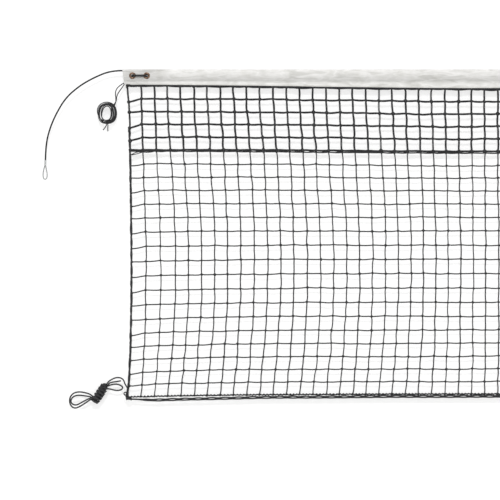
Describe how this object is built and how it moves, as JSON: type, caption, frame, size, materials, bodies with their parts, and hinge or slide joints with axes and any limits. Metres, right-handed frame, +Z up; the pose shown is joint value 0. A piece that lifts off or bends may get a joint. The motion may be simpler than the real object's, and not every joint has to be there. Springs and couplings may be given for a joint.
{
  "type": "tennis net",
  "caption": "Doubles tennis net of knotted black netting with a white cloth headband over a steel cable, end eyes, eyelets and coiled tie cords.",
  "frame": {"origin": "on the headband cable's axis, at the middle of the net's length, where the net hangs from its cable", "axes": "+X along the net to the right seen from the front, +Y through the net to its back, +Z up"},
  "size_m": [13.2742, 0.028, 1.105],
  "materials": {
    "headband_cloth": "matt white synthetic canvas tape, lightly creased",
    "brass": "dull aged brass",
    "black_cord": "black braided polyester cord",
    "netting_twine": "black braided polyethylene twine, slightly waxy",
    "cable_coating": "smooth black vinyl coating",
    "wire_rope": "galvanised steel wire rope",
    "ferrule_metal": "pressed aluminium sleeve",
    "tie_cord": "black braided tie cord"
  },
  "bodies": {
    "root": {"headband": "headband_cloth", "headband_patches_left": "headband_cloth", "headband_patches_right": "headband_cloth", "eyelets": "brass", "eyelet_washers": "brass", "head_rope": "black_cord", "joining_cord": "black_cord", "bottom_rope": "black_cord", "side_rope_left": "black_cord", "side_rope_right": "black_cord", "side_lashings_left": "black_cord", "side_lashings_right": "black_cord", "bottom_lashings": "black_cord", "corner_knots_left": "black_cord", "corner_knots_right": "black_cord", "double_netting": "netting_twine", "single_netting": "netting_twine", "eyelet_ties": "tie_cord", "upper_tie_cords": "tie_cord", "upper_tie_tails": "tie_cord", "upper_tie_coil_left": "tie_cord", "upper_tie_coil_right": "tie_cord", "lower_tie_cords": "tie_cord", "lower_tie_hank_left": "tie_cord", "lower_tie_hank_right": "tie_cord"},
    "cable": {"cable_jacket": "cable_coating", "cable_core": "wire_rope", "cable_end_left": "cable_coating", "cable_end_right": "cable_coating", "ferrule_left": "ferrule_metal", "ferrule_right": "ferrule_metal", "cable_eye_left": "wire_rope", "cable_eye_right": "wire_rope"}
  },
  "joints": [
    {"name": "cable_slide", "type": "slide", "parent": "root", "child": "cable", "axis": [1, 0, 0], "range_m": [-0.02, 0.02]}
  ]
}
